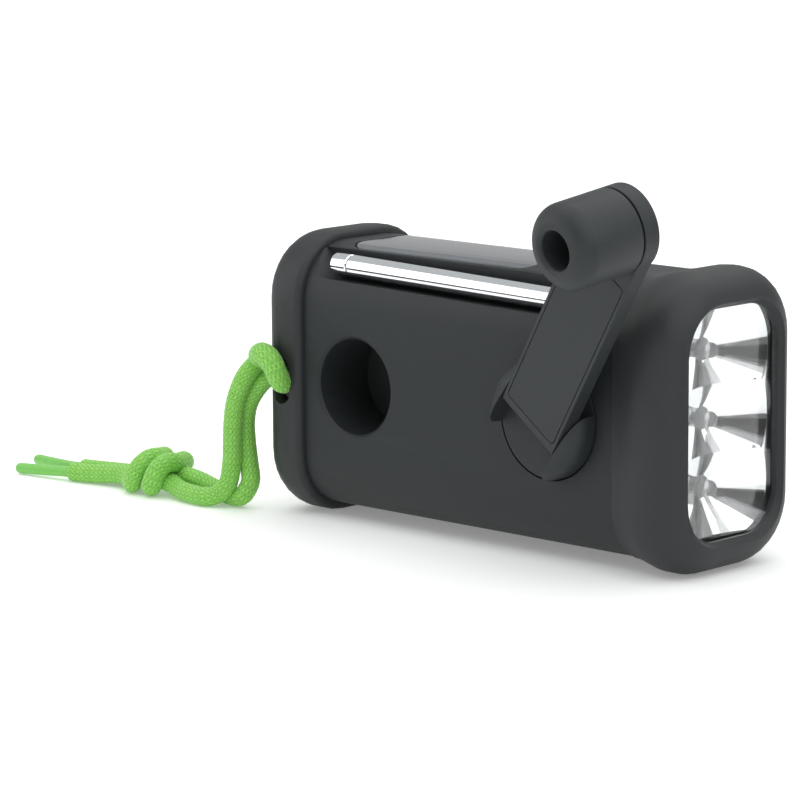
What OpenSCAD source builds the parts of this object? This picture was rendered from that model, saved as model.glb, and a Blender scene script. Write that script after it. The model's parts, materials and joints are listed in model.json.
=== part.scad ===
// Hand-cranked radio with a torch end, a solar panel, a telescopic antenna and a wrist cord.
// X runs along the length with the torch at +X, the front face looks along -Y, Z is up.
// The origin is on the plane it stands on, under the middle of the housing.

/* [Housing] */
// Overall length over both bumpers
overall_len = 114; // [108:1:126]
// Depth of the bumpers, front to back
bumper_depth = 40; // [38:0.5:46]
// Height of the bumpers
bumper_height = 60; // [58:0.5:68]
// How far the bumpers stand proud of the body all round
bumper_proud = 1.8; // [1.2:0.1:2.4]
// Corner radius of the body section
body_r = 12; // [11:0.25:13]
// Wall of the body shells
wall = 1.8; // [1.5:0.1:2.1]
// Where the two shells meet, behind the front face
seam_depth = 13.2; // [12:0.2:14]
// Width of the left bumper along the length
left_bumper_w = 12.2; // [12:0.2:14]
// Width of the right bumper, the lamp bezel
right_bumper_w = 17; // [16.4:0.2:19]
// Radius of the bumpers' outer end edges
end_r = 7.4; // [5:0.2:8]

/* [Crank] */
// Hub centre from the right bumper's seam
hub_inset = 16.8; // [16:0.1:18]
// Knob recess centre from the left bumper's seam
recess_inset = 14.2; // [13:0.2:16]
// Drop of the hub centre below mid height
crank_drop = 0.5; // [0:0.1:2]
// Diameter of the hub disc
hub_d = 24.6; // [24:0.2:27]
// Angle of the arm above the length axis
crank_angle = 53; // [48:1:60]
// Outward lean of the unfolded arm
arm_lean = 12; // [9:0.5:14]
// Width of the arm
arm_w = 16.4; // [14:0.2:17]
// Thickness of the arm
arm_t = 3.6; // [3.4:0.1:4.2]
// Diameter of the hinge pin
hinge_pin_d = 2.2; // [1.8:0.1:2.4]
// Diameter of the knob
knob_d = 17; // [15.5:0.5:18]
// Length of the knob
knob_len = 15.5; // [13:0.5:16]
// Radius of the knob's front edge
knob_edge_r = 4; // [3:0.25:4.5]
// Diameter of the hole in the knob's front
knob_hole_d = 7.6; // [6:0.2:8.4]
// Diameter of the crank shaft
shaft_d = 6; // [5:0.5:6.5]

/* [Gears] */
// Tooth module of the first gear pair
module_1 = 0.6; // [0.55:0.01:0.62]
// Teeth on the drive gear
drive_teeth = 44; // [40:1:46]
// Teeth on the small end of the compound gear
pinion_teeth = 12; // [12:1:14]
// Tooth module of the second gear pair
module_2 = 0.5; // [0.46:0.01:0.52]
// Teeth on the large end of the compound gear
step_teeth = 40; // [36:1:41]
// Teeth on the generator pinion
rotor_teeth = 10; // [10:1:12]

/* [Antenna] */
// Diameter of the outer tube
antenna_d = 4.8; // [4.4:0.1:5.2]
// Wall of each tube, with its sliding gap
antenna_step = 0.5; // [0.45:0.01:0.55]
// Antenna elbow from the right bumper's seam
elbow_inset = 7.6; // [7:0.1:9]
// Space between the antenna's tip and the left bumper
tip_gap = 5.2; // [5:0.1:8]
// Drop of the antenna towards its elbow
antenna_tilt = 1.5; // [0.5:0.1:2]
// Forward lean of the plane in which the antenna lifts
lift_lean = 15; // [10:1:18]

/* [Lamp] */
// Width of the lamp window
window_w = 28.4; // [25:0.2:29]
// Height of the lamp window
window_h = 46.2; // [42:0.2:47]
// Spacing of the lamps
lamp_pitch = 13.8; // [13:0.1:14.2]
// Diameter of a lamp
lamp_d = 3.2; // [3:0.1:4]

/* [Solar panel] */
// Length of the panel
solar_len = 50.6; // [46:0.2:54]
// Width of the panel
solar_w = 21; // [18:0.2:21.4]
// Middle of the panel from the left bumper's seam
solar_inset = 31; // [30:0.2:34]

/* [Back face] */
// Diameter of the speaker frame
speaker_d = 36; // [32:0.5:37]
// Diameter of the tuning dial
tuning_d = 16; // [13:0.5:17]
// Diameter of the volume dial
volume_d = 11; // [9:0.5:12]
// Travel of the band slider
band_travel = 5; // [4:0.5:6]
// Travel of the lamp button
button_travel = 1; // [0.8:0.1:1.2]

/* [Wrist cord] */
// Diameter of the cord
cord_d = 4; // [3.6:0.1:4.5]

/* [Hidden] */
$fn = 48;

// Clearances: running fit of a shaft, gap between moving faces, fit of seated pieces
run_gap = 0.05;
move_gap = 0.35;
seat_gap = 0.1;
// A little extra so that cuts pass through faces
cut = 1;

// Housing places
x_left = -overall_len / 2;
x_right = overall_len / 2;
body_d = bumper_depth - 2 * bumper_proud;
body_h = bumper_height - 2 * bumper_proud;
mid_z = bumper_height / 2;
y_front = -body_d / 2;
y_back = body_d / 2;
z_top = mid_z + body_h / 2;
z_base = mid_z - body_h / 2;
y_seam = y_front + seam_depth;
bumper_r = body_r + bumper_proud;
inner_r = body_r - wall;
x_body_0 = x_left + left_bumper_w;
x_body_1 = x_right - right_bumper_w;
sleeve = 2.2;
shell_x0 = x_body_0 - sleeve;
shell_x1 = x_body_1 + sleeve;
lip = 3.2;
lip_t = 1.5;
inner_edge = 1.4;
swell_len = 8;
swell_step = 0.3;
end_wall = 2;
cavity_edge = 7.2;
y_wall = y_front + wall / 2;
y_wall_back = y_back - wall / 2;

// Crank places: the arm reaches from the hub to the knob recess, and clears the bumpers when folded
hub_x = x_body_1 - hub_inset;
crank_z = mid_z - crank_drop;
recess_x = x_body_0 + recess_inset;
arm_r = hub_x - recess_x;
hinge_lift = bumper_proud + move_gap + arm_t / 2;
hinge_pin_len = hub_d - 4;
hub_r = hub_d / 2;
hub_t = 2.6;
hub_pocket = hub_t + move_gap;
ear_gap = arm_w / 2 + move_gap;
ear_top = hinge_lift + hinge_pin_d / 2 + 0.9;
ear_shoulder = 4;
plate_sink = 0.8;
plate_edge = 0.9;
plate_len = arm_r - knob_d / 2 - 1.8;
plate_mid = (arm_r - knob_d / 2) / 2 + 0.2;
knob_gap = 0.3;
knob_body = knob_len - knob_gap;
knob_floor = 3;
knob_screw_r = 2.6;
knob_screw_t = 1.6;
recess_r = knob_d / 2 + 1.6;
recess_rim = 0.7;
recess_depth = knob_len - (hinge_lift - arm_t / 2) + 1.4;
cup_t = 1.4;
pocket_floor = 1.6;
bush_t = 1.5;
bush_len = 5.4;
shaft_flat = shaft_d / 2 - 0.8;
y_pocket = y_front + hub_pocket;

// Gear train places, layer by layer behind the front face
y_gear = y_front + 10.2;
drive_face = 3;
y_gear_1 = y_gear + drive_face;
clip_t = 0.8;
clip_r = 4.6;
y_step = y_gear_1 + 0.6;
step_face = 2;
y_plate = y_step + step_face + 1;
plate_t = 1.4;
y_plate_1 = y_plate + plate_t;
drive_r = module_1 * drive_teeth / 2;
step_r = module_2 * step_teeth / 2;
pitch_1 = drive_r + module_1 * pinion_teeth / 2;
pitch_2 = step_r + module_2 * rotor_teeth / 2;
step_x = hub_x - pitch_1;
rotor_angle = 100;
rotor_x = step_x + pitch_2 * cos(rotor_angle);
rotor_z = crank_z + pitch_2 * sin(rotor_angle);
// Turns, in teeth, that put a tooth of one gear opposite a gap of the next
pinion_shift = drive_teeth % 2 == 0 ? 0.5 : 0;
rotor_shift = (rotor_angle * step_teeth + (rotor_angle + 180) * rotor_teeth) / 360 - 0.5;
axle_r = 1.5;
rotor_shaft_r = 1;
generator_r = 9.4;
generator_nose_r = 2.9;
post_r = 2.6;
post_x = step_x - step_r - 5;
posts = [[post_x, crank_z - 8], [post_x, crank_z + 17], [hub_x - 1, crank_z + drive_r + 4.2]];
plate_edge_r = 3.2;

// Antenna places: the axis lies in the scooped front top edge
antenna_r = antenna_d / 2;
groove_r = antenna_r + 0.7;
scoop_t = 1.4;
scoop_lean = 86;
ramp_gap = 0.9;
scoop_reach = groove_r + scoop_t + 1.2;
elbow_x = x_body_1 - elbow_inset;
antenna_len = elbow_x - x_body_0 - tip_gap;
antenna_y = y_front + 4.6;
elbow_z = z_top - 5.9;
knuckle_r = antenna_r + 0.1;
cheek_half = antenna_r + 0.3;
knuckle_t = 1.4;
slot_half = knuckle_t / 2 + 0.12;
stud_r = antenna_r - 0.2;
pin_r = 0.7;
tube_start = 5.4;
tip_len = 4.6;
tube_end = antenna_len - tip_len;
tip_edge = 0.4;

// Lamp places
lens_t = 1.2;
bezel_t = 2.6;
bezel_flare = 1.2;
x_lens = x_right - bezel_t;
window_r = 9;
lens_lip = 1;
lens_w = window_w + 2 * lens_lip;
lens_h = window_h + 2 * lens_lip;
cavity_w = lens_w + 2;
cavity_h = lens_h + 2;
reflector_len = 6.4;
x_reflector = x_lens - lens_t - reflector_len;
reflector_t = 0.8;
lamp_board_t = 1.4;
x_board = x_reflector - lamp_board_t - 1;
lamp_len = 5.4;
collar_t = 2;
collar_w = 0.6;
lamp_gap = 0.3;
funnel_floor = lamp_d + 2 * collar_w + 2 * lamp_gap;

// Solar panel places
solar_x = x_body_0 + solar_inset;
solar_r = 4;
solar_gap = 0.3;
cell_t = 0.7;
cover_t = 1.7;
solar_sink = cell_t + cover_t;
solar_floor = solar_sink + 1.6;
solar_margin = 1.7;
bed_merge = 0.4;
cell_edge = 1;

// Back face places, from the right seam, the left seam and mid height
board_t = 1.6;
small_head_t = 1.2;
board_y = y_back - 8.6;
board_back = board_y + board_t;
board_x = [x_body_1 - 39.2, x_body_1 - 1.4];
board_z = [mid_z - 13.6, mid_z + 21.6];
generator_len = board_y - 0.6 - y_plate_1;
dial_sink = 2;
dial_t = 3.2;
dial_shaft_r = 2;
dial_gap = 0.6;
shaft_in = 3.6;
shaft_end = 0.4;
grip_r = 0.7;
pointer_w = 0.8;
pointer_sink = 0.5;
y_dial = y_back - dial_sink + move_gap;
tuning_at = [x_body_1 - 16, mid_z + 6.4];
volume_at = [x_body_1 - 11.4, mid_z - 9.4];
band_at = [x_body_1 - 32.4, mid_z + 10];
button_at = [x_body_1 - 29, mid_z - 8];
capacitor_w = 15.2;
capacitor_room = 2.6;
capacitor_t = board_y - y_plate_1 - capacitor_room;
pot_r = 4.6;
pot_room = 3.6;
pot_t = board_y - y_plate_1 - pot_room;
slider_w = 5;
slider_h = 3.4;
slot_edge_r = 1;
switch_t = 2.4;
switch_h = 6;
switch_end = 3.9;
slider_foot = 1.1;
slider_proud = 1.2;
slider_gap = 0.3;
lamp_switch_t = 1.6;
lamp_switch_w = 6;
button_r = 3.8;
button_proud = 1.2;
button_edge = 0.5;
button_foot = 1;
button_gap = 0.2;
boss_r = 3;
boss_x = [x_body_0 + 7.2, shell_x1 - lip - boss_r - 0.4];
boss_z = [z_base + body_r - 0.8, z_top - body_r - 0.2];
speaker_r = speaker_d / 2;
// The speaker's round frame keeps clear of the left bosses and of the left bumper's ring
speaker_gap = 0.7;
speaker_reach = speaker_r + boss_r + speaker_gap;
boss_drop = min(mid_z - boss_z[0], boss_z[1] - mid_z);
boss_side = sqrt(max(0, pow(speaker_reach, 2) - pow(boss_drop, 2)));
speaker_at = [max(boss_x[0] + boss_side, x_body_0 + lip + speaker_r + speaker_gap), mid_z];
magnet_r = 8.6;
y_magnet = y_back - 15.6;
y_basket = y_back - 10.8;
y_rim = y_back - 4.8;
basket_t = 1;
y_rim_back = y_back - wall - 0.25;
cone_t = 0.6;
rim_w = 2;
basket_edge = 3;
cone_edge = 3.4;
cap_r = 5;
cap_low = 1.4;
cap_high = 1.9;
// Line of the cone from its middle to the rim that is glued to the frame
cone_line = [[0, y_basket + cap_high], [cap_r, y_basket + cap_low],
    [speaker_r - cone_edge, y_rim + basket_t + seat_gap],
    [speaker_r - rim_w - 2 * seat_gap, y_rim + basket_t + seat_gap]];
grille_r = 0.36 * speaker_d;
grille_hole_r = 1.15;
rod_r = 3.4;
coil_t = 0.7;
coil_r = rod_r + coil_t;
rod_gap = 1.4;
rod_roof = 0.3;
rod_at = [y_plate_1 + small_head_t + rod_r + rod_gap, z_top - solar_floor - coil_r - rod_roof];
rod_end_gap = 1.8;
rod_x = [x_body_0 + 11.4, rotor_x - generator_r - rod_end_gap];
rod_clip_in = 3;
rod_clip_x = [rod_x[0] + rod_clip_in, rod_x[1] - rod_clip_in];
clip_wall = 1;
coil_in = 6;
screw_r = 1.25;
screw_gap = 0.2;
small_head_r = 2.2;
plate_screw_len = 6;
board_screw_len = 5;
seam_screw_len = 7;
head_t = 1.4;
pilot_r = screw_r - 0.05;
head_r = 2.4;
head_sink = 4;
bosses = [[boss_x[0], boss_z[0]], [boss_x[0], boss_z[1]], [boss_x[1], boss_z[0]],
    [boss_x[1], mid_z + 12.4]];
board_boss_r = 2.6;
board_bosses = [[x_body_1 - 22, mid_z + 18.4], [x_body_1 - 4, mid_z - 0.4]];
battery_len = 44;
battery_h = 9;
battery_x = x_body_1 - 30;
battery_w = body_d - 2 * wall - 2 * inner_r - 2 * seat_gap;

// Cord route, chosen by hand on the standing plane to the left of the housing
slot_c = [x_left + 2.2, -bumper_depth / 2 + 2.2];
slot_ring = 5;
slot_w = 5.2;
slot_h = 10;
slot_z = 29;
cord_r = cord_d / 2;
strand_1 = [[-60, -19.6, 29], [-61.4, -20.4, 26.5], [-62.2, -21, 22], [-63, -21.4, 16], [-64, -21.8, 10],
    [-65.6, -22.4, 5.6], [-69, -23, 3], [-74, -23.4, 2.6], [-79.5, -23.4, 3.6], [-84, -23.2, 5]];
strand_2 = [[-58.6, -15, 29], [-60.4, -15.4, 25.5], [-61.8, -16, 21], [-62.2, -16.2, 15], [-62, -16.4, 9],
    [-63.4, -16.8, 5], [-67, -17.6, 2.8], [-72.5, -18.2, 2.5], [-79, -18.6, 3.6], [-84, -18.6, 5]];
tail_1 = [[-90, -23.2, 5], [-95, -23.2, 3.6], [-101, -23.4, 2.6], [-107, -23.4, 2.4], [-112.6, -23.6, 2.4],
    [-120, -24.6, 2.4], [-128.5, -25.8, 2.4]];
tail_2 = [[-90, -18.6, 5], [-95, -18.2, 3.6], [-101, -17.6, 2.6], [-110, -15.8, 2.4], [-118.6, -14.8, 2.4],
    [-125, -15.6, 2.4], [-132, -16.6, 2.4]];
knot_at = [-86.4, -21.6, 6];
knot_half = [8, 6, 5.2];

// Shapes shared by several pieces

// Points of a rounded rectangle, counter-clockwise
function rounded_points(w, h, r, steps = 8) = [
    for (q = [0:3])
        for (k = [0:steps])
            let (a = 90 * q + 90 * k / steps, sx = (q == 0 || q == 3) ? 1 : -1, sy = q < 2 ? 1 : -1)
                [sx * (w / 2 - r) + r * cos(a), sy * (h / 2 - r) + r * sin(a)]];

// Prism of a rounded rectangle section along X, centred on mid height
module prism_x(x0, x1, w, h, r)
    translate([x0, 0, mid_z])
        rotate([90, 0, 90])
            linear_extrude(x1 - x0)
                polygon(rounded_points(w, h, r));

// Prism of a rounded rectangle along Y
module prism_y(y0, y1, w, h, r)
    translate([0, y0, 0])
        rotate([-90, 0, 0])
            linear_extrude(y1 - y0)
                polygon(rounded_points(w, h, r));

// Round bars along Y and along X
module bar_y(r, y0, y1)
    translate([0, y0, 0])
        rotate([-90, 0, 0])
            cylinder(r = r, h = y1 - y0);
module bar_x(r, x0, x1)
    translate([x0, 0, 0])
        rotate([0, 90, 0])
            cylinder(r = r, h = x1 - x0);
module at_xz(p)
    translate([p[0], 0, p[1]])
        children();

// Closed skin over rings of points that all have the same count
module skin(rings) {
    n = len(rings[0]);
    m = len(rings);
    points = [for (ring = rings) each ring];
    sides = [for (i = [0:m - 2]) for (k = [0:n - 1]) let (a = i * n + k, b = i * n + (k + 1) % n)
        each [[a, b + n, b], [a, a + n, b + n]]];
    first = [for (k = [1:n - 2]) [0, k, k + 1]];
    last = [for (k = [1:n - 2]) let (o = (m - 1) * n) [o, o + k + 1, o + k]];
    polyhedron(points, concat(sides, first, last));
}

// Ring of a bumper section at a place along the length, drawn in by an inset
function section_ring(x, inset) = [
    for (p = rounded_points(bumper_depth - 2 * inset, bumper_height - 2 * inset, bumper_r - inset))
        [x, p[0], p[1] + mid_z]];

// Rings of a bumper's inner end: a rolled edge on the left, a long swell out of the body on the right
function rolled_edge(x_in) = [
    for (a = [0:22.5:90]) section_ring(x_in - inner_edge * (1 - cos(a)), inner_edge * (1 - sin(a)))];
function swell_edge(x_in) = [
    for (t = [0:1/6:1.01])
        section_ring(x_in + swell_len * t, (bumper_proud - swell_step) * (1 + cos(180 * t)) / 2)];
function end_rings(x_end, s) = [
    for (a = [0:12.5:90]) section_ring(x_end - s * end_r * (1 - sin(a)), end_r * (1 - cos(a)))];
function reversed(list) = [for (i = [len(list) - 1:-1:0]) list[i]];

// Tube swept along a route
function unit(v) = v / norm(v);
function route_ring(route, i, r, sides = 8) =
    let (a = route[max(i - 1, 0)], b = route[min(i + 1, len(route) - 1)], t = unit(b - a),
        u = unit(cross(t, [0, 1, 0.01])), v = cross(t, u))
        [for (k = [0:sides - 1]) route[i] + r * (cos(360 * k / sides) * u + sin(360 * k / sides) * v)];
module sweep(route, r)
    skin([for (i = [0:len(route) - 1]) route_ring(route, i, r)]);

// Spur gear outline with slim teeth, so that a pair turns with backlash
module gear_2d(m, teeth, shift) {
    rp = m * teeth / 2;
    ra = rp + 0.85 * m;
    rf = rp - 1.15 * m;
    step = 360 / teeth;
    flank = [[rf, -0.33], [rp, -0.2], [ra, -0.09], [ra, 0.09], [rp, 0.2], [rf, 0.33]];
    polygon([for (k = [0:teeth - 1]) for (q = flank) let (a = (k + shift + q[1]) * step)
        [q[0] * cos(a), q[0] * sin(a)]]);
}
module gear_y(m, teeth, y0, face, shift = 0)
    translate([0, y0 + face, 0])
        rotate([90, 0, 0])
            linear_extrude(face)
                gear_2d(m, teeth, shift);

// Cross-head screw along Y, its head at the back
module screw_y(y_head, y_tip, r, head, head_t) difference() {
    union() {
        bar_y(r, y_tip, y_head);
        bar_y(head, y_head, y_head + head_t);
    }
    for (a = [0, 90])
        rotate([0, a, 0])
            translate([-head * 0.6, y_head + head_t / 2, -0.25])
                cube([head * 1.2, head_t, 0.5]);
}

// Frames of the moving groups
module at_hub()
    translate([hub_x, y_front, crank_z])
        children();
// Local X along the arm, local Y along the hinge pin, local Z out of the face
module on_face()
    at_hub()
        rotate([0, -crank_angle, 0])
            rotate([90, 0, 0])
                children();
module on_arm()
    on_face()
        translate([0, 0, hinge_lift])
            rotate([0, -arm_lean, 0])
                children();
// Local X along the closed antenna from the elbow to its tip
module on_antenna()
    translate([elbow_x, antenna_y, elbow_z])
        rotate([0, antenna_tilt, 0])
            mirror([1, 0, 0])
                children();
// The same, turned so that local Y is the elbow pin
module on_elbow()
    on_antenna()
        rotate([lift_lean, 0, 0])
            children();

// Housing

module shell_tube() difference() {
    prism_x(shell_x0, shell_x1, body_d, body_h, body_r);
    prism_x(shell_x0 - cut, shell_x1 + cut, body_d - 2 * wall, body_h - 2 * wall, inner_r);
}

// Space in front of the seam, or behind it
module half_space(front)
    translate([x_left - cut, front ? y_front - cut : y_seam, -cut])
        cube([overall_len + 2 * cut, front ? seam_depth + cut : body_d, bumper_height + 2 * cut]);

// Section of the antenna scoop: a round floor, a back wall along the lift and a front wall laid open
function scoop_points(r, steps = 12, high = 20) = concat(
    [for (k = [0:steps]) let (a = 180 + scoop_lean + (180 + lift_lean - scoop_lean) * k / steps)
        [r * cos(a), r * sin(a)]],
    [for (side = [[lift_lean, 1], [scoop_lean, -1]])
        [side[1] * r * cos(side[0]) - high * sin(side[0]),
            side[1] * r * sin(side[0]) + high * cos(side[0])]]);

// Trough for the antenna, from bumper to bumper
module antenna_trough(r, past)
    on_antenna()
        translate([-elbow_inset - past, 0, 0])
            rotate([90, 0, 90])
                linear_extrude(antenna_len + tip_gap + elbow_inset + 2 * past)
                    polygon(scoop_points(r));

// Way of the antenna through the shell: its trough, with a ramp that the tip climbs as it lifts
module antenna_way() intersection() {
    antenna_trough(groove_r, 0);
    on_elbow()
        translate([antenna_len + ramp_gap, 0, -antenna_r])
            rotate([0, 45, 0])
                translate([-2 * overall_len, -body_d, -overall_len])
                    cube([2 * overall_len, 2 * body_d, 2 * overall_len]);
}

module solar_block(margin, z0, z1)
    translate([solar_x, 0, z0])
        linear_extrude(z1 - z0)
            polygon(rounded_points(solar_len + 2 * margin, solar_w + 2 * margin, solar_r + margin));
module solar_cut()
    solar_block(solar_gap, z_top - solar_sink, z_top + cut);
module solar_bed()
    solar_block(solar_margin, z_top - solar_floor, z_top - solar_sink + bed_merge);

module front_shell() color("#3b3d3e") difference() {
    union() {
        intersection() {
            half_space(true);
            union() {
                shell_tube();
                intersection() {
                    prism_x(x_body_0 - scoop_t, x_body_1 + scoop_t, body_d, body_h, body_r);
                    union() {
                        antenna_trough(groove_r + scoop_t, scoop_t);
                        solar_bed();
                    }
                }
            }
        }
        at_xz([recess_x, crank_z])
            bar_y(recess_r + cup_t, y_wall, y_front + recess_depth + cup_t);
        at_xz([hub_x, crank_z]) {
            bar_y(hub_r + move_gap + cup_t, y_wall, y_pocket + pocket_floor);
            bar_y(shaft_d / 2 + 2 * bush_t, y_pocket, y_pocket + bush_len);
        }
        for (p = bosses)
            at_xz(p)
                bar_y(boss_r, y_wall, y_seam);
        for (p = posts)
            at_xz(p)
                bar_y(post_r, y_wall, y_plate);
    }
    at_xz([recess_x, crank_z]) {
        bar_y(recess_r, y_front - cut, y_front + recess_depth);
        translate([0, y_front - seat_gap, 0])
            rotate([-90, 0, 0])
                cylinder(r1 = recess_r + recess_rim + seat_gap, r2 = recess_r, h = recess_rim + seat_gap);
    }
    at_xz([hub_x, crank_z]) {
        bar_y(hub_r + move_gap, y_front - cut, y_pocket);
        bar_y(shaft_d / 2 + bush_t, y_pocket - cut, y_pocket + bush_len + cut);
    }
    antenna_way();
    on_elbow()
        bar_y(knuckle_r + move_gap, -cheek_half - move_gap, cheek_half + move_gap);
    for (p = bosses)
        at_xz(p)
            bar_y(pilot_r, y_front + 2 * wall, y_seam + cut);
    for (p = posts)
        at_xz(p)
            bar_y(pilot_r, y_plate - plate_screw_len - 2 * cut, y_plate + cut);
    solar_cut();
}

module back_shell() color("#3b3d3e") difference() {
    union() {
        intersection() {
            half_space(false);
            union() {
                shell_tube();
                intersection() {
                    prism_x(shell_x0, shell_x1, body_d, body_h, body_r);
                    solar_bed();
                }
            }
        }
        for (p = bosses)
            at_xz(p)
                bar_y(boss_r, y_seam, y_wall_back);
        for (p = board_bosses)
            at_xz(p)
                bar_y(board_boss_r, board_back, y_wall_back);
        dial_seat(tuning_at, tuning_d);
        dial_seat(volume_at, volume_d);
        for (x = rod_clip_x)
            translate([x - clip_wall, rod_at[0] - rod_r - clip_wall, rod_at[1] - rod_r - clip_wall])
                cube([2 * clip_wall, 2 * (rod_r + clip_wall),
                    z_top - solar_floor + bed_merge - rod_at[1] + rod_r + clip_wall]);
    }
    for (p = bosses)
        at_xz(p) {
            bar_y(screw_r + screw_gap, y_seam - cut, y_back + cut);
            bar_y(head_r + screw_gap, y_back - head_sink, y_back + cut);
        }
    for (p = board_bosses)
        at_xz(p)
            bar_y(pilot_r, board_y, y_back - wall);
    dial_cut(tuning_at, tuning_d);
    dial_cut(volume_at, volume_d);
    at_xz(band_at)
        prism_y(y_back - 2 * wall, y_back + cut, band_travel + slider_w + 2 * move_gap,
            slider_h + 2 * move_gap, slot_edge_r);
    at_xz(button_at)
        bar_y(button_r + move_gap, y_back - 2 * wall, y_back + cut);
    at_xz(speaker_at)
        for (ring = [0:4])
            for (k = [0:max(0, ring * 6 - 1)])
                rotate([0, 360 * k / max(1, ring * 6), 0])
                    translate([ring * grille_r / 4, 0, 0])
                        bar_y(grille_hole_r, y_back - 2 * wall, y_back + cut);
    translate([0, rod_at[0], rod_at[1]])
        bar_x(rod_r + seat_gap, rod_x[0], rod_x[1]);
    solar_cut();
}
module dial_seat(p, d)
    at_xz(p)
        bar_y(d / 2 + dial_gap + 1, y_back - dial_sink - wall, y_wall_back);
module dial_cut(p, d)
    at_xz(p) {
        bar_y(d / 2 + dial_gap, y_back - dial_sink, y_back + cut);
        bar_y(dial_shaft_r + run_gap, y_back - dial_sink - wall - cut, y_back);
    }

// Ring of a bumper that plugs into the shells, open at the antenna scoop
module inner_lip(x0, x1) difference() {
    prism_x(x0, x1, body_d - 2 * (wall + seat_gap), body_h - 2 * (wall + seat_gap), inner_r - seat_gap);
    prism_x(x0 - cut, x1 + cut, body_d - 2 * (wall + lip_t), body_h - 2 * (wall + lip_t), inner_r - lip_t);
    translate([x0 - cut, y_front, elbow_z - scoop_reach])
        cube([x1 - x0 + 2 * cut, antenna_y - y_front + scoop_reach, bumper_height]);
}

module left_bumper() color("#3e4041") {
    difference() {
        skin(reversed(concat(rolled_edge(x_body_0), end_rings(x_left, -1))));
        prism_x(shell_x0, x_body_0 + cut, body_d, body_h, body_r);
        translate([x_left + end_wall, y_seam, z_base + cavity_edge])
            cube([shell_x0 - x_left, y_back - 2 * wall - y_seam, body_h - 2 * cavity_edge]);
        translate([slot_c[0], slot_c[1], slot_z])
            rotate_extrude() {
                translate([slot_ring - slot_w / 2, (slot_w - slot_h) / 2])
                    square([slot_w, slot_h - slot_w]);
                for (s = [-1, 1])
                    translate([slot_ring, s * (slot_h - slot_w) / 2])
                        circle(d = slot_w);
            }
    }
    inner_lip(shell_x0 - 0.01, shell_x0 + lip);
}

module right_bumper() color("#3e4041") {
    difference() {
        skin(concat(swell_edge(x_body_1), end_rings(x_right, 1)));
        prism_x(x_body_1 - cut, shell_x1, body_d, body_h, body_r);
        prism_x(shell_x1 - cut, x_lens, cavity_w, cavity_h, window_r + lens_lip + 1);
        prism_x(x_lens - cut, x_right + cut, window_w, window_h, window_r);
        hull() {
            prism_x(x_lens + 0.9, x_lens + 1, window_w, window_h, window_r);
            prism_x(x_right, x_right + 0.1, window_w + 2 * bezel_flare, window_h + 2 * bezel_flare,
                window_r + bezel_flare);
        }
    }
    inner_lip(shell_x1 - lip, shell_x1 + 0.01);
}

// Lamp

module lamp_lens() color("#dfe6ea", 0.4)
    prism_x(x_lens - lens_t, x_lens, lens_w, lens_h, window_r + lens_lip);

// Three square funnels in one block, one over another
module reflector() color("#c9ccd0") difference() {
    prism_x(x_reflector, x_lens - lens_t, lens_w + 0.8, lens_h + 0.8, window_r + lens_lip);
    for (k = [-1:1])
        translate([0, 0, mid_z + k * lamp_pitch]) {
            hull() {
                translate([x_reflector + reflector_t, -funnel_floor / 2, -funnel_floor / 2])
                    cube([0.01, funnel_floor, funnel_floor]);
                translate([x_lens - lens_t + 0.05, -window_w / 2, 0.15 - lamp_pitch / 2])
                    cube([0.01, window_w, lamp_pitch - 0.3]);
            }
            bar_x(lamp_d / 2 + collar_w + lamp_gap, x_reflector - cut, x_reflector + 2);
        }
}

module lamps() color("#cfd4d6")
    for (k = [-1:1])
        translate([x_board + lamp_board_t, 0, mid_z + k * lamp_pitch])
            rotate([0, 90, 0])
                rotate_extrude()
                    lamp_profile();
// Half section of a lamp: a collar, a straight body and a round tip
module lamp_profile() {
    r = lamp_d / 2;
    polygon(concat([[0, 0], [r + collar_w, 0], [r + collar_w, collar_t], [r, collar_t]],
        [for (a = [0:10:90]) [r * cos(a), lamp_len - r + r * sin(a)]]));
}

module lamp_board() color("#2c5a34")
    prism_x(x_board, x_board + lamp_board_t, cavity_w - 2 * seat_gap, cavity_h - 2 * seat_gap,
        window_r + lens_lip + 1 - seat_gap);

// Solar panel

module solar_cell() color("#2b2f3a")
    solar_block(-cell_edge, z_top - solar_sink, z_top - solar_sink + cell_t);
// The cover's top follows the housing's rounded shoulders
module solar_cover() color("#9ba0a2") intersection() {
    prism_x(x_body_0, x_body_1, body_d, body_h, body_r);
    solar_block(0, z_top - cover_t, z_top + cut);
}

// Antenna, from the stud beside the lamp bezel to the tip

module antenna_stud() color("#b9bcc0") {
    difference() {
        on_antenna()
            bar_x(stud_r, -elbow_inset, -slot_half);
        on_elbow() {
            bar_y(knuckle_r + move_gap, -slot_half, slot_half);
            translate([-knuckle_r - 1.4, -slot_half, -2 * stud_r])
                cube([knuckle_r + 2, 2 * slot_half, 4 * stud_r]);
        }
    }
    on_elbow()
        for (s = [-1, 1])
            difference() {
                bar_y(knuckle_r, s > 0 ? slot_half : -cheek_half, s > 0 ? cheek_half : -slot_half);
                bar_y(pin_r, -cheek_half - cut, cheek_half + cut);
            }
}
module antenna_knuckle() color("#b9bcc0") on_elbow() difference() {
    union() {
        bar_y(knuckle_r, -knuckle_t / 2, knuckle_t / 2);
        translate([0, -knuckle_t / 2, 0.4 - stud_r])
            cube([tube_start, knuckle_t, 2 * stud_r - 0.8]);
    }
    bar_y(pin_r + run_gap, -cut, cut);
}
module antenna_pin() color("#d0d2d5") on_elbow()
    bar_y(pin_r, -cheek_half, cheek_half);
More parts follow.
